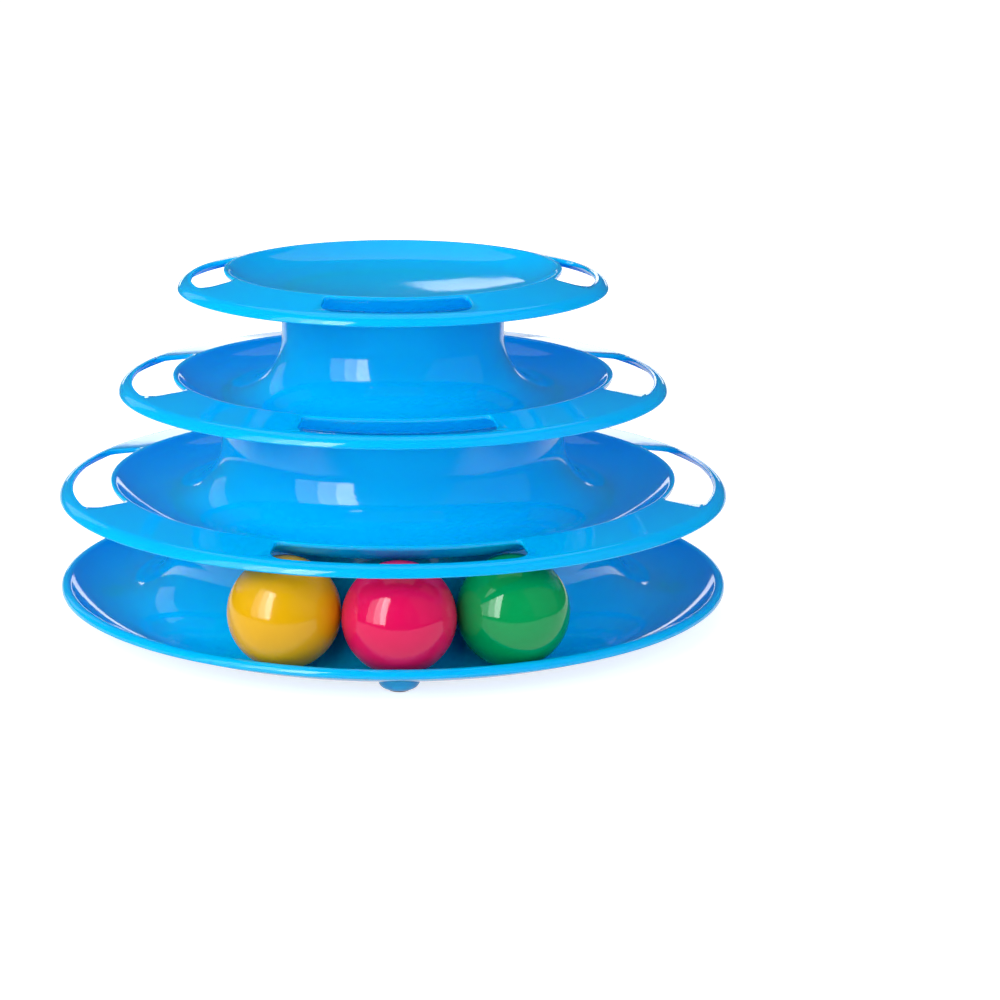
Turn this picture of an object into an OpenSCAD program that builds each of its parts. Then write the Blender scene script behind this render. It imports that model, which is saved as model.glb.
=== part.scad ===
// Tower of ball tracks for a cat: a tray, two slotted track rings and a slotted top dish,
// stacked on keyed columns, with three hollow balls that roll round the tray.
// Millimetres, +Z up, the axis of the tower on Z, the front towards -Y.
// Z = 0 is the surface that the foot pads rest on.

/* [Rings] */
// Outside diameter of the tray and of the lower track, over their lips
base_d = 241.3; // [220:0.1:270]
// Outside diameter of the middle track
middle_d = 197.4; // [185:0.1:210]
// Outside diameter of the top dish
top_d = 154.2; // [145:0.1:165]
// Wall thickness of every blue moulding
wall = 1.6; // [1.2:0.1:2]

/* [Heights] */
// Height of the lower track's crest above the resting surface
lower_crest_z = 49.3; // [49:0.1:54]
// Rise from one crest to the next
tier_pitch = 37.8; // [36:0.1:42]
// Height of the tray's lip, at its top
tray_lip_z = 12.1; // [10:0.1:13]
// Height of the tray's floor, its show face
tray_floor_z = 5.2; // [4.6:0.1:5.8]

/* [Tracks] */
// From the tray's rim to the middle of its track
tray_track_inset = 19.25; // [19:0.05:22]
// From a slotted track's rim to the middle of its track
track_inset = 38.15; // [36:0.05:40]
// Depth of a slotted track, from its crest to its floor
track_depth = 7.2; // [6:0.1:8]
// Radius of the sweep from a track's floor up into its column
column_fillet = 20.5; // [19.8:0.1:22]
// Draft of the columns, in degrees
column_draft = 1; // [0.5:0.1:2]

/* [Flanges] */
// Width of the lower track's flange, from rim to crest
lower_flange_w = 19.4; // [17:0.1:22]
// Width of the middle track's flange
middle_flange_w = 20.4; // [18:0.1:22]
// Width of the top dish's flange
dish_flange_w = 17.4; // [15:0.1:20]
// Slope of the tracks' flanges, in degrees
track_slope = 7.5; // [4:0.5:12]
// Slope of the dish's flange, in degrees
dish_slope = 14; // [10:0.5:16]
// Radius of a flange's crest
crest_r = 2; // [1.9:0.1:2.6]
// Radius of a flange's turned-down edge
edge_r = 4.5; // [3.5:0.1:6]
// Turn of that edge from level, in degrees
edge_turn = 80; // [70:1:88]
// Radius of the tray's rolled lip
lip_r = 2.2; // [2:0.1:2.6]
// Turn of the tray's lip from level, in degrees
lip_turn = 75; // [65:1:85]
// Straight hem under the tray's lip
lip_hem = 1.2; // [0.6:0.1:2]

/* [Slots] */
// Slots in each flange
slot_count = 4; // [3:1:4]
// Angle that a slot spans along its inner side, in degrees
slot_angle = 47; // [30:1:50]
// Lean of a slot's ends away from its middle line, in degrees; 0 is parallel to it
slot_end_lean = 10; // [0:1:15]
// Radius of a slot's inner corners
slot_inner_corner_r = 2; // [1.5:0.1:3]
// Radius of a slot's outer corners
slot_outer_corner_r = 6.5; // [4:0.1:7]
// From a crest to the slot
slot_crest_gap = 0.8; // [0.6:0.1:2]
// Solid ring left between the slot and the rim
slot_rim_w = 4.8; // [4.4:0.1:6]

/* [Dish] */
// Radius of the bowl's floor
bowl_r = 225; // [215:1:240]
// Radius of the sweep from the bowl's floor up to its crest
bowl_sweep_r = 26; // [24:0.5:28]
// Where the bowl's floor meets that sweep, in degrees
bowl_join = 12; // [11:0.5:12.5]

/* [Joints between tiers] */
// Clearance between a skirt and the column that it enters
fit_gap = 0.3; // [0.2:0.05:0.5]
// Length of the skirt below its seat
skirt_h = 8; // [6:0.5:12]
// Thickness of the skirt
skirt_t = 1.6; // [1.2:0.1:2]
// Chamfer that leads the skirt in
lead_in = 0.8; // [0.4:0.1:1]
// Height of the seat pad under a floor
seat_pad = 0.6; // [0.4:0.1:1]
// Number of keying ribs inside a column's top
key_count = 4; // [4:4:8]
// Width of a rib
key_w = 9; // [6:0.5:12]
// Height of a rib
key_h = 4.5; // [3:0.5:5]
// How far a rib stands out of the column's wall
key_depth = 1.6; // [1.2:0.1:1.8]
// From the column's top down to its ribs
key_drop = 1; // [0.6:0.1:1.5]

/* [Balls] */
// Diameter of a ball
ball_d = 38.4; // [38:0.1:38.5]
// Wall of a ball
ball_wall = 1.5; // [1.2:0.1:3]
// Gap under a ball
ball_floor_gap = 0.3; // [0.2:0.05:0.4]
// Gap between one ball and the next
ball_gap = 0.5; // [0.3:0.1:6]

/* [Feet] */
// Radius of a foot where it leaves the tray
foot_r = 7; // [6:0.1:8]
// Radius of the curve down a foot's side
foot_curve = 2.4; // [1.5:0.1:2.6]
// Radius of a foot pad
pad_r = 3.9; // [3.2:0.1:4.2]
// Thickness of a foot pad
pad_t = 2; // [1.6:0.1:2.4]
// How far a pad stands out of its foot
pad_proud = 0.8; // [0.5:0.1:1.2]
// Clearance round a pad in its pocket
pad_gap = 0.1; // [0.05:0.01:0.2]

/* [Hidden] */
$fn = 120;

blue = [0.01, 0.61, 0.92];
yellow = [0.88, 0.72, 0.04];
pink = [0.91, 0.11, 0.40];
green = [0.02, 0.64, 0.33];
pad_grey = [0.55, 0.58, 0.62];

// Directions, in degrees from +X
front = -90;
quarter = 90;
opposite = 180;

// Overrun of every cut past the face that it opens
cut_over = 1;
// Degrees of arc to one facet of a section's curve, of a slot's long sides and of its corners
arc_step = 5;
slot_step_turn = 3;
corner_step = 15;

base_r = base_d / 2;
middle_r = middle_d / 2;
top_r = top_d / 2;
ball_r = ball_d / 2;

// Each slotted tier: rim radius, track radius, crest radius and crest height
lower = [base_r, base_r - track_inset, base_r - lower_flange_w, lower_crest_z];
middle = [middle_r, middle_r - track_inset, middle_r - middle_flange_w, lower_crest_z + tier_pitch];
dish_crest_r = top_r - dish_flange_w;
dish_crest_z = lower_crest_z + 2 * tier_pitch;
tray_track_r = base_r - tray_track_inset;

function rim_of(tier) = tier[0];
function track_of(tier) = tier[1];
function crest_of(tier) = tier[2];
function crest_z_of(tier) = tier[3];
function floor_of(tier) = crest_z_of(tier) - track_depth;

// Radius of the arc that leaves a floor level and meets a convex curve tangentially;
// run and rise lead from the floor's lowest point to the centre of that curve
function sweep_r(run, rise, curve_r) =
    (run * run + rise * rise - curve_r * curve_r) / (2 * (rise + curve_r));

// Points of a hollow arc, its centre above it, at angles from straight down
function hollow(cr, cz, r, from, to) =
    let (n = ceil(abs(to - from) / arc_step))
    [for (i = [0:n]) let (a = from + (to - from) * i / n) [cr + r * sin(a), cz - r * cos(a)]];

// Points of a crowned arc, its centre below it, at slopes from rising to falling
function crowned(cr, cz, r, from, to) =
    let (n = ceil(abs(to - from) / arc_step))
    [for (i = [0:n]) let (a = from + (to - from) * i / n) [cr - r * sin(a), cz + r * cos(a)]];

function tail(points) = [for (i = [1:len(points) - 1]) points[i]];
function backwards(points) = [for (i = [len(points) - 1:-1:0]) points[i]];

// Radius of a column's face at height z; depth 0 is the show face, wall the hidden one
function column_r(track_r, floor_z, depth, z) =
    let (r = column_fillet + depth, start_z = floor_z + column_fillet - r * sin(column_draft))
    track_r - r * cos(column_draft) - (z - start_z) * tan(column_draft);

// Column and inner half of a track, from the column's top to the floor's lowest point
function column_half(track_r, floor_z, top_z, depth) =
    concat([[column_r(track_r, floor_z, depth, top_z), top_z]],
           hollow(track_r, floor_z + column_fillet, column_fillet + depth, column_draft - 90, 0));

// Crest, flange and turned-down edge, from the slope at which the wall arrives
function flange(crest, crest_z, rim, slope, arrive, depth) =
    let (edge_cr = rim - edge_r * sin(edge_turn),
         run = edge_cr + edge_r * sin(slope) - crest - crest_r * sin(slope),
         edge_cz = crest_z - crest_r + (crest_r - edge_r) * cos(slope) - run * tan(slope))
    concat(tail(crowned(crest, crest_z - crest_r, crest_r - depth, arrive, -slope)),
           crowned(edge_cr, edge_cz, edge_r - depth, -slope, -edge_turn));

// Face of a slotted track from the column's top to the rim's edge
function track_face(tier, top_z, depth) =
    let (run = crest_of(tier) - track_of(tier), rise = track_depth - crest_r,
         r = sweep_r(run, rise, crest_r), arrive = asin(run / (r + crest_r)))
    concat(column_half(track_of(tier), floor_of(tier), top_z, depth),
           tail(hollow(track_of(tier), floor_of(tier) + r, r + depth, 0, arrive)),
           flange(crest_of(tier), crest_z_of(tier), rim_of(tier), track_slope, arrive, depth));

// Face of the tray from the column's top to the hem of its lip
function tray_face(top_z, depth) =
    let (lip_cr = base_r - lip_r * sin(lip_turn), lip_cz = tray_lip_z - lip_r,
         run = lip_cr - tray_track_r, rise = lip_cz - tray_floor_z,
         r = sweep_r(run, rise, lip_r), arrive = asin(run / (r + lip_r)),
         hem_top = [lip_cr + (lip_r - depth) * sin(lip_turn), lip_cz + (lip_r - depth) * cos(lip_turn)],
         hem_z = lip_cz + lip_r * cos(lip_turn) - lip_hem)
    concat(column_half(tray_track_r, tray_floor_z, top_z, depth),
           tail(hollow(tray_track_r, tray_floor_z + r, r + depth, 0, arrive)),
           tail(crowned(lip_cr, lip_cz, lip_r - depth, arrive, -lip_turn)),
           [[hem_top[0], hem_z]]);

// Bowl of the top dish: its floor is centred on the axis and meets the sweep at bowl_join
bowl_sweep_cr = (bowl_r - bowl_sweep_r) * sin(bowl_join);
bowl_sweep_run = dish_crest_r - bowl_sweep_cr;
bowl_reach = bowl_sweep_r + crest_r;
bowl_arrive = asin(bowl_sweep_run / bowl_reach);
bowl_sweep_cz = dish_crest_z - crest_r + bowl_reach * cos(bowl_arrive);
bowl_cz = bowl_sweep_cz + (bowl_r - bowl_sweep_r) * cos(bowl_join);

function dish_face(depth) =
    concat(hollow(0, bowl_cz, bowl_r + depth, 0, bowl_join),
           tail(hollow(bowl_sweep_cr, bowl_sweep_cz, bowl_sweep_r + depth, bowl_join, bowl_arrive)),
           flange(dish_crest_r, dish_crest_z, top_r, dish_slope, bowl_arrive, depth));

// Middle of the wall over a joint, where the joint's rings are rooted
function track_root_z(tier, r) =
    floor_of(tier) + column_fillet
    - sqrt(pow(column_fillet + wall / 2, 2) - pow(track_of(tier) - r, 2));
function dish_root_z(r) = bowl_cz - sqrt(pow(bowl_r + wall / 2, 2) - r * r);

// Each joint: its seat height and the column's outer and inner radius there
lower_seat_z = floor_of(lower) - wall - seat_pad;
middle_seat_z = floor_of(middle) - wall - seat_pad;
dish_column_r = column_r(track_of(middle), floor_of(middle), 0, dish_crest_z - track_depth);
dish_seat_z = dish_root_z(dish_column_r) - wall - seat_pad;

function joint_at(track_r, floor_z, seat_z) =
    [seat_z, column_r(track_r, floor_z, 0, seat_z), column_r(track_r, floor_z, wall, seat_z)];
lower_joint = joint_at(tray_track_r, tray_floor_z, lower_seat_z);
middle_joint = joint_at(track_of(lower), floor_of(lower), middle_seat_z);
dish_joint = joint_at(track_of(middle), floor_of(middle), dish_seat_z);
function seat_of(joint) = joint[0];
function column_out(joint) = joint[1];
function column_in(joint) = joint[2];
function skirt_out(joint) = column_in(joint) - fit_gap;
function skirt_in(joint) = skirt_out(joint) - skirt_t;

key_step = 360 / key_count;
slot_step = 360 / slot_count;

// A block that is a sector of a ring, centred on the front
module sector(inner_r, outer_r, low_z, high_z, half_turn) {
    rotate([0, 0, front - half_turn])
        rotate_extrude(angle = 2 * half_turn)
            translate([inner_r, low_z])
                square([outer_r - inner_r, high_z - low_z]);
}

// Points of an arc about a centre that lies at polar radius and turn, at directions from and to
function arc_at(radius, turn, r, from, to, step) =
    let (n = ceil(abs(to - from) / step), centre = radius * [cos(turn), sin(turn)])
    [for (i = [0:n]) let (a = from + (to - from) * i / n) centre + r * [cos(a), sin(a)]];

// One half of a slot's outline, centred on +X, from the middle of its outer side round to
// the middle of its inner side; reach is how far its end lies from the tower's axis
function slot_half(inner_r, outer_r) =
    let (reach = inner_r * sin(slot_angle / 2 - slot_end_lean), end = slot_end_lean + quarter,
         inner_corner = inner_r + slot_inner_corner_r, outer_corner = outer_r - slot_outer_corner_r,
         inner_turn = slot_end_lean + asin((reach - slot_inner_corner_r) / inner_corner),
         outer_turn = slot_end_lean + asin((reach - slot_outer_corner_r) / outer_corner))
    concat(arc_at(0, 0, outer_r, 0, outer_turn, slot_step_turn),
           tail(arc_at(outer_corner, outer_turn, slot_outer_corner_r, outer_turn, end, corner_step)),
           arc_at(inner_corner, inner_turn, slot_inner_corner_r, end, inner_turn + opposite, corner_step),
           tail(arc_at(0, 0, inner_r, inner_turn, 0, slot_step_turn)));

// The whole outline: that half, and back along its mirror image
function slot_outline(inner_r, outer_r) =
    let (half = slot_half(inner_r, outer_r))
    concat(half, [for (i = [len(half) - 2:-1:1]) [half[i][0], -half[i][1]]]);

// Slots right through a flange
module slots(crest, crest_z, rim) {
    for (i = [0:slot_count - 1])
        rotate([0, 0, front + i * slot_step])
            translate([0, 0, crest_z - track_depth])
                linear_extrude(height = track_depth + cut_over)
                    polygon(slot_outline(crest + slot_crest_gap, rim - slot_rim_w));
}

// Places of the keying ribs, between the slots
module keyed() {
    for (i = [0:key_count - 1])
        rotate([0, 0, (i + 0.5) * key_step])
            children();
}

// Ribs inside a column's top that key the tier above
module key_ribs(joint) {
    top_z = seat_of(joint) - key_drop;
    keyed()
        sector(column_in(joint) - key_depth, column_in(joint) + wall / 2,
               top_z - key_h, top_z, asin(key_w / 2 / column_in(joint)));
}

// Seat and skirt under a tier's floor, notched over the ribs that it slides down;
// the roots lie in the middle of the tier's wall
module keyed_skirt(joint, inner_root_z, outer_root_z) {
    low_z = seat_of(joint) - skirt_h;
    notch_w = key_w + 2 * fit_gap;
    difference() {
        rotate_extrude()
            polygon([[skirt_in(joint), low_z],
                     [skirt_out(joint) - lead_in / 2, low_z],
                     [skirt_out(joint), low_z + lead_in],
                     [skirt_out(joint), seat_of(joint)],
                     [column_out(joint), seat_of(joint)],
                     [column_out(joint), outer_root_z],
                     [skirt_in(joint), inner_root_z]]);
        keyed()
            sector(skirt_in(joint) - cut_over, column_in(joint), low_z - cut_over,
                   seat_of(joint) - key_drop + fit_gap, asin(notch_w / 2 / column_in(joint)));
    }
}

module slotted_track(tier, joint_below, joint_above) {
    difference() {
        union() {
            rotate_extrude()
                polygon(concat(track_face(tier, seat_of(joint_above), 0),
                               backwards(track_face(tier, seat_of(joint_above), wall))));
            keyed_skirt(joint_below, track_root_z(tier, skirt_in(joint_below)),
                        track_root_z(tier, column_out(joint_below)));
            key_ribs(joint_above);
        }
        slots(crest_of(tier), crest_z_of(tier), rim_of(tier));
    }
}

// Degrees of arc to one facet of a foot's curve
foot_step = 15;
foot_root_z = tray_floor_z - wall / 4;
foot_curve_z = pad_proud + foot_curve;

// A foot, from its root in the tray's wall down to the land round its pad's pocket
module foot_boss() {
    difference() {
        rotate_extrude()
            polygon(concat([[0, foot_root_z], [foot_r, foot_root_z], [foot_r, foot_curve_z]],
                           [for (a = [foot_step:foot_step:90])
                               [foot_r - foot_curve * (1 - cos(a)), foot_curve_z - foot_curve * sin(a)]],
                           [[0, pad_proud]]));
        translate([0, 0, pad_proud - cut_over])
            cylinder(r = pad_r + pad_gap, h = pad_t - pad_proud + cut_over);
    }
}

module base_tray() {
    color(blue) {
        rotate_extrude()
            polygon(concat(tray_face(seat_of(lower_joint), 0),
                           backwards(tray_face(seat_of(lower_joint), wall))));
        key_ribs(lower_joint);
        for (i = [0:3])
            rotate([0, 0, front + i * quarter])
                translate([tray_track_r, 0, 0])
                    foot_boss();
    }
}

module lower_track() {
    color(blue) slotted_track(lower, lower_joint, middle_joint);
}

module middle_track() {
    color(blue) slotted_track(middle, middle_joint, dish_joint);
}

module top_dish() {
    color(blue)
        difference() {
            union() {
                rotate_extrude()
                    polygon(concat(dish_face(0), backwards(dish_face(wall))));
                keyed_skirt(dish_joint, dish_root_z(skirt_in(dish_joint)),
                            dish_root_z(column_out(dish_joint)));
            }
            slots(dish_crest_r, dish_crest_z, top_r);
        }
}

// A hollow ball in the tray's track, a number of places round from the front
ball_step = 2 * asin((ball_d + ball_gap) / 2 / tray_track_r);

module ball(place) {
    rotate([0, 0, front + place * ball_step])
        translate([tray_track_r, 0, tray_floor_z + ball_floor_gap + ball_r])
            difference() {
                sphere(r = ball_r);
                sphere(r = ball_r - ball_wall);
            }
}

module ball_yellow() { color(yellow) ball(-1); }
module ball_pink() { color(pink) ball(0); }
module ball_green() { color(green) ball(1); }

// A soft pad pressed into the foot, a number of quarters round from the front
module foot_pad(quarters) {
    color(pad_grey)
        rotate([0, 0, front + quarters * quarter])
            translate([tray_track_r, 0, 0])
                cylinder(r = pad_r, h = pad_t);
}

base_tray();
lower_track();
middle_track();
top_dish();
ball_yellow();
ball_pink();
ball_green();
foot_pad(0);  // foot_pad_front
foot_pad(1);  // foot_pad_right
foot_pad(2);  // foot_pad_back
foot_pad(3);  // foot_pad_left
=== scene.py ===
import bpy
import math
from mathutils import Matrix, Vector


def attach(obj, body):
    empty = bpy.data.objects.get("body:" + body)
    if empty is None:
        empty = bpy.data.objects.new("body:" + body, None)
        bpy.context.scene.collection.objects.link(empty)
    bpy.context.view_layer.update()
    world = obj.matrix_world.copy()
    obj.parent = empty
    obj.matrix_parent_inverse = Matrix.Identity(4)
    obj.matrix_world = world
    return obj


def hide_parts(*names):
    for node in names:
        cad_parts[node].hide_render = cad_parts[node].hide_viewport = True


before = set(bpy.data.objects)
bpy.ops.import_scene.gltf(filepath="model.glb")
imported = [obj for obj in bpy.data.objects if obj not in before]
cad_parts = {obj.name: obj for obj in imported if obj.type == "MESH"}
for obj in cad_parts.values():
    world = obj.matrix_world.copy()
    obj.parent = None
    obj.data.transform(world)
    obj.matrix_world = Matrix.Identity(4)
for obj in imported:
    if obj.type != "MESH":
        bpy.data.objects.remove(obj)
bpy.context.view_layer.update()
print("frame loaded")

mm = 0.001          # shapes are written in millimetres, Blender works in metres
smoothAngle = 38    # degrees: edges sharper than this stay crisp


def deselectAll():
    if bpy.context.object and bpy.context.object.mode != "OBJECT":
        bpy.ops.object.mode_set(mode="OBJECT")
    bpy.ops.object.select_all(action="DESELECT")


def activate(obj):
    deselectAll()
    obj.select_set(True)
    bpy.context.view_layer.objects.active = obj


def applyModifier(obj, kind, **settings):
    activate(obj)
    modifier = obj.modifiers.new(kind.title(), kind)
    for key, value in settings.items():
        setattr(modifier, key, value)
    bpy.ops.object.modifier_apply(modifier=modifier.name)


def joinInto(target, others):
    deselectAll()
    for obj in others:
        obj.select_set(True)
    target.select_set(True)
    bpy.context.view_layer.objects.active = target
    bpy.ops.object.join()


def finishPiece(obj, name, body, node, material):
    activate(obj)
    bpy.ops.object.transform_apply(location=True, rotation=True, scale=True)
    bpy.ops.object.shade_smooth_by_angle(angle=math.radians(smoothAngle))
    obj.name = obj.data.name = name
    obj.data.materials.clear()
    obj.data.materials.append(material)
    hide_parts(node)
    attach(obj, body)


def linear(hexColour):
    # sRGB hex to the linear values that the shaders want
    channels = [int(hexColour[i:i + 2], 16) / 255 for i in (1, 3, 5)]
    return [c / 12.92 if c <= 0.04045 else ((c + 0.055) / 1.055) ** 2.4 for c in channels] + [1.0]


def addNode(tree, kind, settings={}, links={}):
    node = tree.nodes.new(kind)
    for key, value in settings.items():
        if isinstance(key, int) or key in node.inputs:
            node.inputs[key].default_value = value
        else:
            setattr(node, key, value)
    for key, socket in links.items():
        tree.links.new(socket, node.inputs[key])
    return node


def mouldedPlastic(name, look):
    # Injection-moulded gloss plastic: even dye, a clear hard gloss, and the faint waviness
    # that the cooling skin leaves, which bends the edges of the reflections
    material = bpy.data.materials.new(name)
    material.use_nodes = True
    tree = material.node_tree
    shader = tree.nodes["Principled BSDF"]
    place = addNode(tree, "ShaderNodeTexCoord").outputs["Object"]

    flow = addNode(tree, "ShaderNodeTexNoise",
                   {"Scale": 1 / (look["flowSize"] * mm), "Detail": 3.0, "Roughness": 0.5},
                   {"Vector": place})
    dye = addNode(tree, "ShaderNodeMix",
                  {"data_type": "RGBA", 6: linear(look["colour"]), 7: linear(look["flowColour"])},
                  {0: flow.outputs["Fac"]})
    tree.links.new(dye.outputs[2], shader.inputs["Base Color"])

    handling = addNode(tree, "ShaderNodeTexNoise",
                       {"Scale": 1 / (look["handlingSize"] * mm), "Detail": 4.0, "Roughness": 0.6},
                       {"Vector": place})
    rough = addNode(tree, "ShaderNodeMapRange",
                    {"From Min": 0.3, "From Max": 0.7,
                     "To Min": look["roughness"][0], "To Max": look["roughness"][1]},
                    {"Value": handling.outputs["Fac"]})
    tree.links.new(rough.outputs["Result"], shader.inputs["Roughness"])

    skin = addNode(tree, "ShaderNodeTexNoise",
                   {"Scale": 1 / (look["waveSize"] * mm), "Detail": 2.0, "Roughness": 0.45},
                   {"Vector": place})
    bump = addNode(tree, "ShaderNodeBump", {"Strength": 1.0, "Distance": look["waveHeight"] * mm},
                   {"Height": skin.outputs["Fac"]})
    tree.links.new(bump.outputs["Normal"], shader.inputs["Normal"])

    shader.inputs["IOR"].default_value = look["ior"]
    shader.inputs["Subsurface Weight"].default_value = look["glow"]
    shader.inputs["Subsurface Scale"].default_value = look["glowDepth"] * mm
    shader.inputs["Subsurface Radius"].default_value = look["glowReach"]
    return material


bluePlastic = mouldedPlastic("mouldedPolypropyleneBlue", {
    "colour": "#00BCF8",
    "flowColour": "#00B5F5",
    "flowSize": 45,
    "handlingSize": 14,
    "roughness": (0.04, 0.08),
    "waveSize": 9,
    "waveHeight": 0.02,
    "ior": 1.4,             # polypropylene's 1.49, eased to the weak reflections in the photograph
    "glow": 0.4,
    "glowDepth": 5,
    "glowReach": (0.02, 0.4, 1.0),
})
ballFinish = {
    "flowSize": 12,
    "handlingSize": 6,
    "waveSize": 5,
    "waveHeight": 0.02,
    "ior": 1.45,            # polyethylene's 1.51, eased likewise
    "glow": 0.1,
    "glowDepth": 2,
}
yellowPlastic = mouldedPlastic("mouldedPolyethyleneYellow", {
    **ballFinish,
    "colour": "#E6B005",
    "flowColour": "#E0A804",
    "roughness": (0.10, 0.16),
    "glowReach": (1.0, 0.6, 0.05),
})
pinkPlastic = mouldedPlastic("mouldedPolyethylenePink", {
    **ballFinish,
    "colour": "#E6105A",
    "flowColour": "#DE0C53",
    "roughness": (0.06, 0.11),
    "glowReach": (1.0, 0.1, 0.3),
})
greenPlastic = mouldedPlastic("mouldedPolyethyleneGreen", {
    **ballFinish,
    "colour": "#00A054",
    "flowColour": "#00994F",
    "roughness": (0.06, 0.11),
    "glowReach": (0.05, 1.0, 0.4),
})


def pressedRubber(name, look):
    # Soft moulded rubber: dull, with the fine grain of its tool and a little dust in it
    material = bpy.data.materials.new(name)
    material.use_nodes = True
    tree = material.node_tree
    shader = tree.nodes["Principled BSDF"]
    place = addNode(tree, "ShaderNodeTexCoord").outputs["Object"]
    grain = addNode(tree, "ShaderNodeTexNoise",
                    {"Scale": 1 / (look["grain"] * mm), "Detail": 3.0}, {"Vector": place})
    dust = addNode(tree, "ShaderNodeMix",
                   {"data_type": "RGBA", 6: linear(look["colour"]), 7: linear(look["dust"])},
                   {0: grain.outputs["Fac"]})
    tree.links.new(dust.outputs[2], shader.inputs["Base Color"])
    bump = addNode(tree, "ShaderNodeBump", {"Strength": 0.6, "Distance": look["grainHeight"] * mm},
                   {"Height": grain.outputs["Fac"]})
    tree.links.new(bump.outputs["Normal"], shader.inputs["Normal"])
    shader.inputs["Roughness"].default_value = look["roughness"]
    return material


padRubber = pressedRubber("pressedRubberGrey", {
    "colour": "#6E747C",
    "dust": "#7C828A",
    "grain": 0.5,
    "grainHeight": 0.03,
    "roughness": 0.7,
})
print("materials made")


def hollowArc(r, z, radius, start, end, step):
    # Arc below its centre, at angles from straight down
    n = max(1, math.ceil(abs(end - start) / step))
    angles = [math.radians(start + (end - start) * i / n) for i in range(n + 1)]
    return [(r + radius * math.sin(a), z - radius * math.cos(a)) for a in angles]


def crownArc(r, z, radius, start, end, step):
    # Arc above its centre, at slopes from rising to falling
    n = max(1, math.ceil(abs(end - start) / step))
    angles = [math.radians(start + (end - start) * i / n) for i in range(n + 1)]
    return [(r - radius * math.sin(a), z + radius * math.cos(a)) for a in angles]


def sweepRadius(run, rise, curve):
    # Radius of a sweep that starts level and runs into a curve whose centre is run out and rise up
    return (run * run + rise * rise - curve * curve) / (2 * (rise + curve))


mould = {
    "wall": 1.6,
    "fillet": 20.5,         # sweep from a track's floor up into its column
    "draft": 1.0,           # degrees that a column leans in
    "crest": 2.0,           # radius of a flange's crest
    "edge": 4.5,            # radius of a flange's turned-down edge
    "edgeTurn": 80,
    "slotAngle": 47,        # degrees of a slot along its inner side
    "slotLean": 10,         # degrees that a slot's ends lean away from its middle line
    "slotCorners": (2.0, 6.5),  # corner radii at the inner and the outer side
    "slotCrestGap": 0.8,
    "slotRim": 4.8,
    "slotRings": 12,        # rings of faces across a slot
    "slotCells": 33,        # faces along half a slot
    "cornerCells": (3, 5),  # faces that each corner takes, along the side and again along the end
    "steps": 512,           # faces round a slotted tier
    "skirtSteps": 256,      # faces round a skirt
    "arcSteps": {"column": 4.5, "track": 2, "crest": 3, "edge": 7},  # degrees between points
    "wallRings": (0.8, 0.6),    # below a column's top and above its sweep
    "weld": 0.002,          # points closer than this are merged
    "edgeAngle": 45,        # degrees: edges sharper than this are rounded
    "edgeRound": 0.3,       # rounding of the cut edges
    "gap": 0.3,
    "skirtHeight": 8,
    "skirt": 1.6,
    "leadIn": 0.8,
    "seatBevel": 0.15,
    "pad": 0.6,             # how far a seat stands below the underside of its track
    "ribs": {"first": 45, "width": 9, "height": 4.5, "depth": 1.6, "drop": 1, "round": 0.35},
}


def columnRadius(tier, depth, z):
    # Radius of a column at height z, depth inside its show face
    r = mould["fillet"] + depth
    a = math.radians(mould["draft"])
    rise = z - tier["floor"] - mould["fillet"] + r * math.sin(a)
    return tier["track"] - r * math.cos(a) - rise * math.tan(a)


def columnHalf(tier, top):
    # Rings of points near both ends of the straight wall keep it looking straight under smooth shading
    sweep = hollowArc(tier["track"], tier["floor"] + mould["fillet"], mould["fillet"],
                      mould["draft"] - 90, 0, mould["arcSteps"]["column"])
    belowTop, aboveSweep = mould["wallRings"]
    wall = [(columnRadius(tier, 0, z), z) for z in (top, top - belowTop, sweep[0][1] + aboveSweep)]
    return wall + sweep


def flange(tier, arrive):
    # Crest, slope with a ring of points wherever a slot needs one, and turned-down edge
    slope = math.radians(tier["slope"])
    edgeRun = mould["edge"] * math.sin(math.radians(mould["edgeTurn"]))
    start = tier["crest"] + mould["crest"] * math.sin(slope)
    end = tier["rim"] - edgeRun + mould["edge"] * math.sin(slope)
    startZ = tier["top"] - mould["crest"] * (1 - math.cos(slope))
    endZ = startZ - (end - start) * math.tan(slope)
    inner = tier["crest"] + mould["slotCrestGap"]
    outer = tier["rim"] - mould["slotRim"]
    rings = [inner + (outer - inner) * i / mould["slotRings"] for i in range(mould["slotRings"] + 1)]
    points = crownArc(tier["crest"], tier["top"] - mould["crest"], mould["crest"],
                      arrive, -tier["slope"], mould["arcSteps"]["crest"])[1:]
    points += [(r, startZ - (r - start) * math.tan(slope)) for r in rings]
    points += crownArc(tier["rim"] - edgeRun, endZ - mould["edge"] * math.cos(slope), mould["edge"],
                       -tier["slope"], -mould["edgeTurn"], mould["arcSteps"]["edge"])
    return points


def trackSection(tier, top):
    run, rise = tier["crest"] - tier["track"], tier["top"] - tier["floor"] - mould["crest"]
    radius = sweepRadius(run, rise, mould["crest"])
    arrive = math.degrees(math.asin(run / (radius + mould["crest"])))
    return (columnHalf(tier, top)
            + hollowArc(tier["track"], tier["floor"] + radius, radius,
                        0, arrive, mould["arcSteps"]["track"])[1:]
            + flange(tier, arrive))


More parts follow.
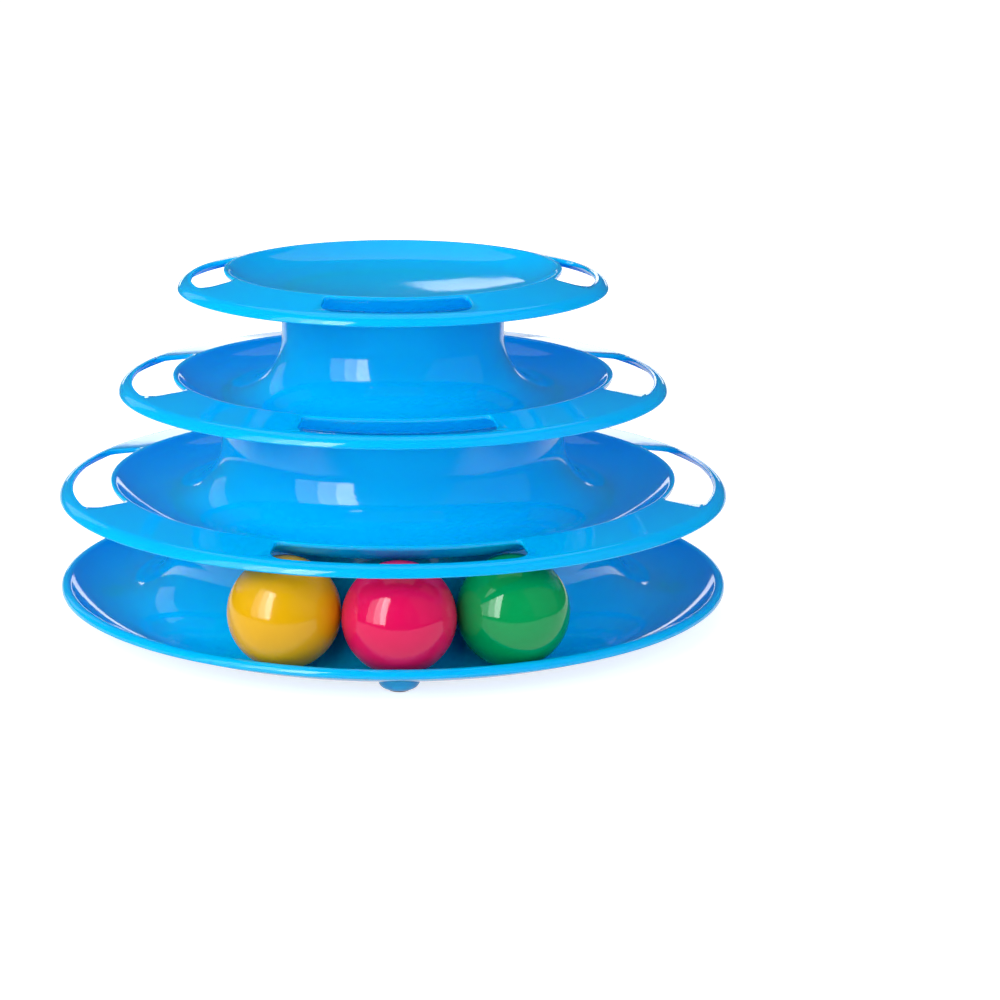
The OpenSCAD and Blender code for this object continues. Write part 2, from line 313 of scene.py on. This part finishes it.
def traySection(tray, top):
    turn = math.radians(tray["lipTurn"])
    lipR, lipZ = tray["rim"] - tray["lip"] * math.sin(turn), tray["lipTop"] - tray["lip"]
    run, rise = lipR - tray["track"], lipZ - tray["floor"]
    radius = sweepRadius(run, rise, tray["lip"])
    arrive = math.degrees(math.asin(run / (radius + tray["lip"])))
    endZ = lipZ + tray["lip"] * math.cos(turn)
    return (columnHalf(tray, top)
            + hollowArc(tray["track"], tray["floor"] + radius, radius, 0, arrive, tray["trackStep"])[1:]
            + crownArc(lipR, lipZ, tray["lip"], arrive, -tray["lipTurn"], mould["arcSteps"]["crest"])[1:]
            + [(tray["rim"], endZ - tray["hem"] / 2), (tray["rim"], endZ - tray["hem"])])


def bowlCentres(dish):
    # The sweep's centre, the height of the bowl's centre, and the angle at which the sweep meets the crest
    join = math.radians(dish["bowlJoin"])
    sweepR = (dish["bowl"] - dish["bowlSweep"]) * math.sin(join)
    reach = dish["bowlSweep"] + mould["crest"]
    arrive = math.asin((dish["crest"] - sweepR) / reach)
    sweepZ = dish["top"] - mould["crest"] + reach * math.cos(arrive)
    return sweepR, sweepZ, sweepZ + (dish["bowl"] - dish["bowlSweep"]) * math.cos(join), math.degrees(arrive)


def dishSection(dish):
    sweepR, sweepZ, bowlZ, arrive = bowlCentres(dish)
    return (hollowArc(0, bowlZ, dish["bowl"], 0, dish["bowlJoin"], dish["bowlStep"])
            + hollowArc(sweepR, sweepZ, dish["bowlSweep"], dish["bowlJoin"], arrive, dish["sweepStep"])[1:]
            + flange(dish, arrive))


def drawSection(name, points):
    # The first point is a plane merged to one vertex, the rest is extruded from it
    deselectAll()
    bpy.ops.mesh.primitive_plane_add(size=mm, location=(0, 0, 0))
    obj = bpy.context.object
    obj.name = name
    bpy.ops.object.mode_set(mode="EDIT")
    bpy.ops.mesh.select_mode(type="VERT")
    bpy.ops.mesh.select_all(action="SELECT")
    bpy.ops.mesh.merge(type="CENTER")
    bpy.ops.transform.translate(value=(points[0][0] * mm, 0, points[0][1] * mm))
    for (r0, z0), (r1, z1) in zip(points, points[1:]):
        step = ((r1 - r0) * mm, 0, (z1 - z0) * mm)
        bpy.ops.mesh.extrude_region_move(TRANSFORM_OT_translate={"value": step})
    return obj


def spinSection(name, points, steps, closed=False):
    obj = drawSection(name, points)
    bpy.ops.mesh.select_all(action="SELECT")
    if closed:  # the last point is joined to the first
        bpy.ops.mesh.edge_face_add()
        bpy.ops.mesh.delete(type="ONLY_FACE")
        bpy.ops.mesh.select_all(action="SELECT")
    bpy.ops.mesh.spin(steps=steps, angle=2 * math.pi, center=(0, 0, 0), axis=(0, 0, 1))
    bpy.ops.mesh.select_all(action="SELECT")
    bpy.ops.mesh.remove_doubles(threshold=mould["weld"] * mm)
    bpy.ops.mesh.normals_make_consistent(inside=False)
    bpy.ops.object.mode_set(mode="OBJECT")
    return obj


def faceUp(obj):
    # The show face is the upper one: turn the sheet over if its normals point down
    up = sum(f.normal.z * f.area for f in obj.data.polygons)
    if up < 0:
        activate(obj)
        bpy.ops.object.mode_set(mode="EDIT")
        bpy.ops.mesh.select_all(action="SELECT")
        bpy.ops.mesh.flip_normals()
        bpy.ops.object.mode_set(mode="OBJECT")


def nearestQuarter(angle):
    return round(angle / (math.pi / 2)) * (math.pi / 2)


def slotPlace(inner, outer, i, j):
    # Where half a slot's outline has the vertex that is i faces along and j rings out
    lean = math.radians(mould["slotLean"])
    reach = inner * math.sin(math.radians(mould["slotAngle"] / 2) - lean)
    cells, rings = mould["slotCells"], mould["slotRings"]
    corners = (
        (inner, mould["slotCorners"][0], mould["cornerCells"][0], j, math.pi),
        (outer, -mould["slotCorners"][1], mould["cornerCells"][1], rings - j, 0),
    )
    ends = []
    for side, corner, taken, fromSide, start in corners:
        turn = lean + math.asin((reach - abs(corner)) / (side + corner))
        if fromSide == 0 and i <= cells - taken:  # a long side
            a = turn * i / (cells - taken)
            return Vector((side * math.cos(a), side * math.sin(a)))
        centre = Vector((math.cos(turn), math.sin(turn))) * (side + corner)
        first, last = turn + start, lean + math.pi / 2
        share = min(1, (i - cells + taken + fromSide) / (2 * taken))
        a = first + (last - first) * share
        ends.append(centre + Vector((math.cos(a), math.sin(a))) * abs(corner))
        if fromSide <= taken:
            return ends[-1]
    share = (j - mould["cornerCells"][0]) / (rings - sum(mould["cornerCells"]))
    return ends[0].lerp(ends[1], share)


def cutSlots(obj, tier):
    # Take out the faces of each slot, then bring the hole's edge onto the slot's outline
    near, onRing = 0.6, 0.05    # how far a point may be from the slope and from a ring to count as on it
    slope = math.tan(math.radians(tier["slope"]))
    inner, outer = tier["crest"] + mould["slotCrestGap"], tier["rim"] - mould["slotRim"]
    cell = 2 * math.pi / mould["steps"]
    cells, rings = mould["slotCells"], mould["slotRings"]
    ringGap = (outer - inner) / rings

    activate(obj)
    bpy.ops.object.mode_set(mode="EDIT")
    bpy.ops.mesh.select_mode(type="FACE")
    bpy.ops.mesh.select_all(action="DESELECT")
    bpy.ops.object.mode_set(mode="OBJECT")
    mesh = obj.data
    for face in mesh.polygons:
        r = math.hypot(face.center.x, face.center.y) / mm
        angle = math.atan2(face.center.y, face.center.x)
        onFlange = face.center.z / mm > tier["top"] - (r - tier["crest"]) * slope - near
        face.select = inner < r < outer and abs(angle - nearestQuarter(angle)) < cells * cell and onFlange
    bpy.ops.object.mode_set(mode="EDIT")
    bpy.ops.mesh.delete(type="FACE")
    bpy.ops.object.mode_set(mode="OBJECT")

    for vert in mesh.vertices:
        r = math.hypot(vert.co.x, vert.co.y) / mm
        angle = math.atan2(vert.co.y, vert.co.x)
        middle = nearestQuarter(angle)
        i, j = round((angle - middle) / cell), round((r - inner) / ringGap)
        onSide = abs(r - inner) < onRing or abs(r - outer) < onRing
        onEnd = abs(i) == cells and -onRing < r - inner and r - outer < onRing
        onFlange = abs(vert.co.z / mm - (tier["top"] - (r - tier["crest"]) * slope)) < near
        if not onFlange or abs(i) > cells or not (onSide or onEnd):
            continue
        place = slotPlace(inner, outer, abs(i), j)
        newAngle = middle + math.copysign(math.atan2(place.y, place.x), i)
        height = vert.co.z / mm - (place.length - r) * slope
        across, along = place.length * math.cos(newAngle), place.length * math.sin(newAngle)
        vert.co = Vector((across, along, height)) * mm
    mesh.update()


def thicken(obj):
    # Give the sheet its wall, on the side away from the show face, and round the cut edges
    applyModifier(obj, "SOLIDIFY", thickness=mould["wall"] * mm, offset=-1.0,
                  use_rim=True, use_even_offset=False)
    applyModifier(obj, "BEVEL", width=mould["edgeRound"] * mm, segments=2, limit_method="ANGLE",
                  angle_limit=math.radians(mould["edgeAngle"]), use_clamp_overlap=False, harden_normals=True)


def quarterTurn(i, first=0):
    # Ribs, notches and feet stand at every quarter of the tower
    return Matrix.Rotation(math.radians(first + 90 * i), 4, "Z")


def addRibs(obj, tierBelow, seat):
    # Ribs inside a column's top that key the tier above
    ribs = mould["ribs"]
    columnIn = columnRadius(tierBelow, mould["wall"], seat)
    depth = ribs["depth"] + mould["wall"] / 2
    made = []
    for i in range(4):
        deselectAll()
        bpy.ops.mesh.primitive_cube_add(
            size=1, location=((columnIn - ribs["depth"] + depth / 2) * mm, 0,
                              (seat - ribs["drop"] - ribs["height"] / 2) * mm))
        rib = bpy.context.object
        rib.scale = (depth * mm, ribs["width"] * mm, ribs["height"] * mm)
        bpy.ops.object.transform_apply(location=True, rotation=False, scale=True)
        applyModifier(rib, "BEVEL", width=ribs["round"] * mm, segments=2)
        rib.data.transform(quarterTurn(i, ribs["first"]))
        made.append(rib)
    joinInto(obj, made)


def addSkirt(obj, tierBelow, seat, rootIn, rootOut):
    # Seat and skirt under a tier, notched over the ribs of the column that it drops into
    ribs = mould["ribs"]
    columnIn, columnOut = columnRadius(tierBelow, mould["wall"], seat), columnRadius(tierBelow, 0, seat)
    outer = columnIn - mould["gap"]
    inner = outer - mould["skirt"]
    low = seat - mould["skirtHeight"]
    bevel = mould["seatBevel"]
    skirt = spinSection("skirt", [
        (inner, low), (outer - mould["leadIn"] / 2, low), (outer, low + mould["leadIn"]), (outer, seat),
        (columnOut - bevel, seat), (columnOut, seat + bevel), (columnOut, rootOut), (inner, rootIn),
    ], mould["skirtSteps"], closed=True)
    past, across = 1, 5     # how far a notch's cutter stands out, and its depth through the skirt
    cutters = []
    for i in range(4):
        deselectAll()
        top = seat - ribs["drop"] + mould["gap"]
        place = ((inner + past) * mm, 0, (low - past + top) / 2 * mm)
        bpy.ops.mesh.primitive_cube_add(size=1, location=place)
        cutter = bpy.context.object
        cutter.scale = (across * mm, (ribs["width"] + 2 * mould["gap"]) * mm, (top - low + past) * mm)
        bpy.ops.object.transform_apply(location=True, rotation=False, scale=True)
        cutter.data.transform(quarterTurn(i, ribs["first"]))
        cutters.append(cutter)
    joinInto(cutters[0], cutters[1:])
    applyModifier(skirt, "BOOLEAN", object=cutters[0], operation="DIFFERENCE", solver="EXACT")
    bpy.data.objects.remove(cutters[0])
    joinInto(obj, [skirt])


def trackRoot(tier, r):
    # Height of the middle of a track's wall at radius r, on its column side
    return (tier["floor"] + mould["fillet"]
            - math.sqrt((mould["fillet"] + mould["wall"] / 2) ** 2 - (tier["track"] - r) ** 2))


def bowlRoot(dish, r):
    # The same for the dish's bowl
    return bowlCentres(dish)[2] - math.sqrt((dish["bowl"] + mould["wall"] / 2) ** 2 - r * r)


tray = {"rim": 120.65, "track": 101.4, "floor": 5.2, "lip": 2.2, "lipTop": 12.1, "lipTurn": 75, "hem": 1.2,
        "steps": 384, "trackStep": 1.5}
lower = {"rim": 120.65, "track": 82.5, "crest": 101.25, "top": 49.3, "floor": 42.1, "slope": 7.5}
middle = {"rim": 98.7, "track": 60.55, "crest": 78.3, "top": 87.1, "floor": 79.9, "slope": 7.5}
dish = {"rim": 77.1, "crest": 59.7, "top": 124.9, "slope": 14,
        "bowl": 225, "bowlSweep": 26, "bowlJoin": 12, "bowlStep": 0.6, "sweepStep": 2.5}

lowerSeat = lower["floor"] - mould["wall"] - mould["pad"]
middleSeat = middle["floor"] - mould["wall"] - mould["pad"]
dishSeat = (bowlRoot(dish, columnRadius(middle, 0, dish["top"] - middle["top"] + middle["floor"]))
            - mould["wall"] - mould["pad"])


def skirtRadii(tierBelow, seat):
    # The skirt's inner radius and the seat's outer one
    return (columnRadius(tierBelow, mould["wall"], seat) - mould["gap"] - mould["skirt"],
            columnRadius(tierBelow, 0, seat))


# Base tray: revolve, wall, ribs in the column's top, four feet
baseTray = spinSection("baseTray", traySection(tray, lowerSeat), tray["steps"])
faceUp(baseTray)
thicken(baseTray)
addRibs(baseTray, tray, lowerSeat)

foot = {"radius": 7.0, "curve": 2.4, "land": 0.8, "pocket": 4.0, "pocketBevel": 0.2, "pocketTop": 2.0,
        "root": 4.8, "curveStep": 10, "steps": 64}
footTurns = [math.radians(a) for a in range(foot["curveStep"], 91, foot["curveStep"])]
footSection = ([(0, foot["root"]), (foot["radius"], foot["root"]),
                (foot["radius"], foot["land"] + foot["curve"])]
               + [(foot["radius"] - foot["curve"] * (1 - math.cos(a)),
                   foot["land"] + foot["curve"] * (1 - math.sin(a))) for a in footTurns]
               + [(foot["pocket"] + foot["pocketBevel"], foot["land"]),
                  (foot["pocket"], foot["land"] + foot["pocketBevel"]),
                  (foot["pocket"], foot["pocketTop"]), (0, foot["pocketTop"])])
outToFoot = Matrix.Translation((0, -tray["track"] * mm, 0))
feet = []
for i in range(4):
    oneFoot = spinSection("foot", footSection, foot["steps"])
    oneFoot.data.transform(quarterTurn(i) @ outToFoot)
    feet.append(oneFoot)
joinInto(baseTray, feet)
finishPiece(baseTray, "baseTray", "tray", "base_tray", bluePlastic)
print("base tray made")

# Foot pads: pressed discs with a rounded rim, one in each foot
pad = {"radius": 3.9, "height": 2.0, "round": 0.35, "roundStep": 15, "steps": 48}
padTurns = [math.radians(a) for a in range(0, 91, pad["roundStep"])]
padSection = ([(0, pad["height"]), (pad["radius"], pad["height"])]
              + [(pad["radius"] - pad["round"] * (1 - math.cos(a)),
                  pad["round"] * (1 - math.sin(a))) for a in padTurns] + [(0, 0)])
for i, side in enumerate(("front", "right", "back", "left")):
    footPad = spinSection("footPad", padSection, pad["steps"])
    footPad.data.transform(quarterTurn(i) @ outToFoot)
    finishPiece(footPad, "footPad" + side.title(), "tray", "foot_pad_" + side, padRubber)
print("foot pads made")

# Lower track ring
lowerTrack = spinSection("lowerTrack", trackSection(lower, middleSeat), mould["steps"])
faceUp(lowerTrack)
cutSlots(lowerTrack, lower)
thicken(lowerTrack)
addRibs(lowerTrack, lower, middleSeat)
skirtIn, seatOut = skirtRadii(tray, lowerSeat)
addSkirt(lowerTrack, tray, lowerSeat, trackRoot(lower, skirtIn), trackRoot(lower, seatOut))
finishPiece(lowerTrack, "lowerTrack", "lower_tier", "lower_track", bluePlastic)
print("lower track made")

# Middle track ring
middleTrack = spinSection("middleTrack", trackSection(middle, dishSeat), mould["steps"])
faceUp(middleTrack)
cutSlots(middleTrack, middle)
thicken(middleTrack)
addRibs(middleTrack, middle, dishSeat)
skirtIn, seatOut = skirtRadii(lower, middleSeat)
addSkirt(middleTrack, lower, middleSeat, trackRoot(middle, skirtIn), trackRoot(middle, seatOut))
finishPiece(middleTrack, "middleTrack", "middle_tier", "middle_track", bluePlastic)
print("middle track made")

# Top dish
topDish = spinSection("topDish", dishSection(dish), mould["steps"])
faceUp(topDish)
cutSlots(topDish, dish)
thicken(topDish)
skirtIn, seatOut = skirtRadii(middle, dishSeat)
addSkirt(topDish, middle, dishSeat, bowlRoot(dish, skirtIn), bowlRoot(dish, seatOut))
finishPiece(topDish, "topDish", "top_tier", "top_dish", bluePlastic)
print("top dish made")

# Balls: hollow shells side by side in the tray's track
ball = {"diameter": 38.4, "wall": 1.5, "gap": 0.5, "lift": 0.3, "segments": 96, "rings": 48}
ballStep = 2 * math.asin((ball["diameter"] + ball["gap"]) / 2 / tray["track"])
balls = (("yellow", -1, yellowPlastic), ("pink", 0, pinkPlastic), ("green", 1, greenPlastic))
for colour, place, plastic in balls:
    deselectAll()
    angle = -math.pi / 2 + place * ballStep
    bpy.ops.mesh.primitive_uv_sphere_add(
        segments=ball["segments"], ring_count=ball["rings"], radius=ball["diameter"] / 2 * mm,
        location=(tray["track"] * math.cos(angle) * mm, tray["track"] * math.sin(angle) * mm,
                  (tray["floor"] + ball["lift"] + ball["diameter"] / 2) * mm))
    shell = bpy.context.object
    applyModifier(shell, "SOLIDIFY", thickness=ball["wall"] * mm, offset=-1.0)
    finishPiece(shell, colour + "Ball", colour + "_ball", "ball_" + colour, plastic)
print("balls made")


shot = {
    "aim": 60.5,            # height on the tower's axis that the camera looks at
    "distance": 1050,
    "elevation": 13.3,
    "turn": -1.15,          # the camera stands a little to the left of the front
    "lens": 104.26,
    "sensor": 36,
    "shift": (0.107, -0.0578),
}
tilt, swing = math.radians(shot["elevation"]), math.radians(shot["turn"])
back = Vector((math.cos(tilt) * math.sin(swing), -math.cos(tilt) * math.cos(swing), math.sin(tilt)))
deselectAll()
bpy.ops.object.camera_add(location=Vector((0, 0, shot["aim"] * mm)) + back * shot["distance"] * mm)
camera = bpy.context.object
camera.rotation_euler = (-back).to_track_quat("-Z", "Y").to_euler()
camera.data.lens = shot["lens"]
camera.data.sensor_width = shot["sensor"]
camera.data.shift_x, camera.data.shift_y = shot["shift"]
bpy.context.scene.camera = camera
print("camera placed")


def mattPaper(name, look):
    # A sheet of matt white paper: white to the camera and in reflections, and it keeps the toy's shadow.
    # Lamps light it near the toy, and farther off it is white by itself. In reflections it is a sheet
    # on a table, which ends in front of the toy and beside it and runs far back.
    material = bpy.data.materials.new(name)
    material.use_nodes = True
    tree = material.node_tree
    tree.nodes.remove(tree.nodes["Principled BSDF"])
    place = addNode(tree, "ShaderNodeTexCoord").outputs["Object"]
    away = addNode(tree, "ShaderNodeVectorMath", {"operation": "LENGTH"}, {0: place})
    glow = addNode(tree, "ShaderNodeMapRange",
                   {"From Min": look["lampReach"][0], "From Max": look["lampReach"][1],
                    "To Min": look["own"], "To Max": 1.0}, {"Value": away.outputs["Value"]})
    across = addNode(tree, "ShaderNodeSeparateXYZ", {}, {0: place})
    aside = addNode(tree, "ShaderNodeMath", {"operation": "ABSOLUTE"}, {0: across.outputs["X"]})
    front = addNode(tree, "ShaderNodeMapRange",
                    {"From Min": look["sheetFront"][0], "From Max": look["sheetFront"][1],
                     "To Min": look["room"], "To Max": 1.0}, {"Value": across.outputs["Y"]})
    sides = addNode(tree, "ShaderNodeMapRange",
                    {"From Min": look["sheetSides"][0], "From Max": look["sheetSides"][1],
                     "To Min": 1.0, "To Max": look["room"]}, {"Value": aside.outputs[0]})
    sheet = addNode(tree, "ShaderNodeMath", {"operation": "MINIMUM"},
                    {0: front.outputs["Result"], 1: sides.outputs["Result"]})

    rays = addNode(tree, "ShaderNodeLightPath")
    mirrored = addNode(tree, "ShaderNodeMath", {"operation": "MAXIMUM"},
                       {0: rays.outputs["Is Glossy Ray"], 1: rays.outputs["Is Transmission Ray"]})
    strength = addNode(tree, "ShaderNodeMath", {"operation": "MULTIPLY"},
                       {0: rays.outputs["Is Camera Ray"], 1: glow.outputs["Result"]})
    own = addNode(tree, "ShaderNodeEmission", {"Color": (1, 1, 1, 1)}, {"Strength": strength.outputs[0]})
    paper = addNode(tree, "ShaderNodeBsdfDiffuse", {"Color": linear(look["paper"])})
    lit = addNode(tree, "ShaderNodeAddShader", {}, {0: own.outputs[0], 1: paper.outputs[0]})
    white = addNode(tree, "ShaderNodeEmission", {"Color": (1, 1, 1, 1)}, {"Strength": sheet.outputs[0]})
    both = addNode(tree, "ShaderNodeMixShader", {},
                   {0: mirrored.outputs[0], 1: lit.outputs[0], 2: white.outputs[0]})
    tree.links.new(both.outputs[0], tree.nodes["Material Output"].inputs["Surface"])
    return material


studio = {
    # Lengths in metres
    "floor": 5.0,           # radius of the paper: it fills the photograph's view up to its top
    "floorSides": 96,
    "own": 0.75,            # how white the paper is by itself near the toy, the lamps add the rest
    "lampReach": (0.3, 1.0),    # from the toy, over which its own white takes over
    "sheetFront": (-0.31, -0.26),   # along Y, over which the sheet ends in reflections
    "sheetSides": (0.32, 0.38),     # the same to the left and right
    "paper": "#DCDEE0",
    "room": 0.06,           # a dim room round the lamps, as the gloss shows little else
    "aim": (0, 0, 0.06),
    # name, turn from the camera (left is negative), elevation, distance, width, height, watts, tint,
    # lights the colour, shows in the gloss
    "softboxes": (
        ("leftBank", -55, 27, 1.5, 2.6, 1.2, 29.0, "#FFFFFF", True, False),
        ("rightBank", 50, 24, 1.5, 2.2, 1.2, 16.0, "#E9EBFF", True, False),
        ("backBank", 180, 35, 1.5, 2.0, 1.0, 14.0, "#BAD2FF", True, False),
        ("topBank", 0, 80, 1.5, 1.6, 1.6, 5.0, "#FFFFFF", True, False),
        ("keySoftbox", -30.3, 23, 1.15, 0.23, 1.05, 8.3, "#FFFFFF", False, True),
        ("keyFade", -42.5, 23, 1.15, 0.26, 1.05, 4.7, "#FFFFFF", False, True),
        ("keyEdge", -57, 23, 1.15, 0.32, 1.05, 2.2, "#FFFFFF", False, True),
        ("leftStreak", -138, 18, 1.2, 0.3, 0.55, 0.25, "#FFFFFF", False, True),
        ("rightWindow", 68, 26, 1.3, 1.5, 1.5, 1.2, "#FFFFFF", False, True),
        ("overheadSheen", 180, 70, 1.3, 1.2, 1.2, 2.5, "#FFFFFF", False, True),
        ("backCard", 180, 2.3, 1.5, 1.1, 0.12, 0.8, "#FFFFFF", False, True),
        ("dishStrip", -179.1, 19.5, 1.5, 0.028, 0.24, 0.032, "#FFFFFF", False, True),
    ),
}
deselectAll()
bpy.ops.mesh.primitive_circle_add(
    vertices=studio["floorSides"], radius=studio["floor"], fill_type="NGON", location=(0, 0, 0))
floor = bpy.context.object
floor.name = "studioFloor"
floor.data.materials.append(mattPaper("mattWhitePaper", studio))

world = bpy.context.scene.world or bpy.data.worlds.new("studio")
bpy.context.scene.world = world
world.use_nodes = True
sky = world.node_tree
sky.nodes.clear()
room = addNode(sky, "ShaderNodeBackground", {"Color": (1, 1, 1, 1), "Strength": studio["room"]})
addNode(sky, "ShaderNodeOutputWorld", {}, {"Surface": room.outputs[0]})

for name, turn, elevation, distance, width, height, watts, tint, inColour, inGloss in studio["softboxes"]:
    bearing, up = math.radians(turn + shot["turn"]), math.radians(elevation)
    outward = Vector((math.sin(bearing) * math.cos(up), -math.cos(bearing) * math.cos(up), math.sin(up)))
    deselectAll()
    bpy.ops.object.light_add(type="AREA", location=Vector(studio["aim"]) + outward * distance)
    lamp = bpy.context.object
    lamp.name = name
    lamp.rotation_euler = (-outward).to_track_quat("-Z", "Y").to_euler()
    lamp.data.shape = "RECTANGLE"
    lamp.data.size, lamp.data.size_y = width, height
    lamp.data.energy = watts
    lamp.data.color = linear(tint)[:3]
    lamp.visible_camera = False
    lamp.visible_diffuse = inColour
    lamp.visible_glossy = inGloss

# The strip's reflection belongs in the dish's bowl only
dishOnly = bpy.data.collections.new("litByDishStrip")
dishOnly.objects.link(topDish)
bpy.data.objects["dishStrip"].light_linking.receiver_collection = dishOnly
print("studio lit")

bpy.context.scene.view_settings.view_transform = "Standard"
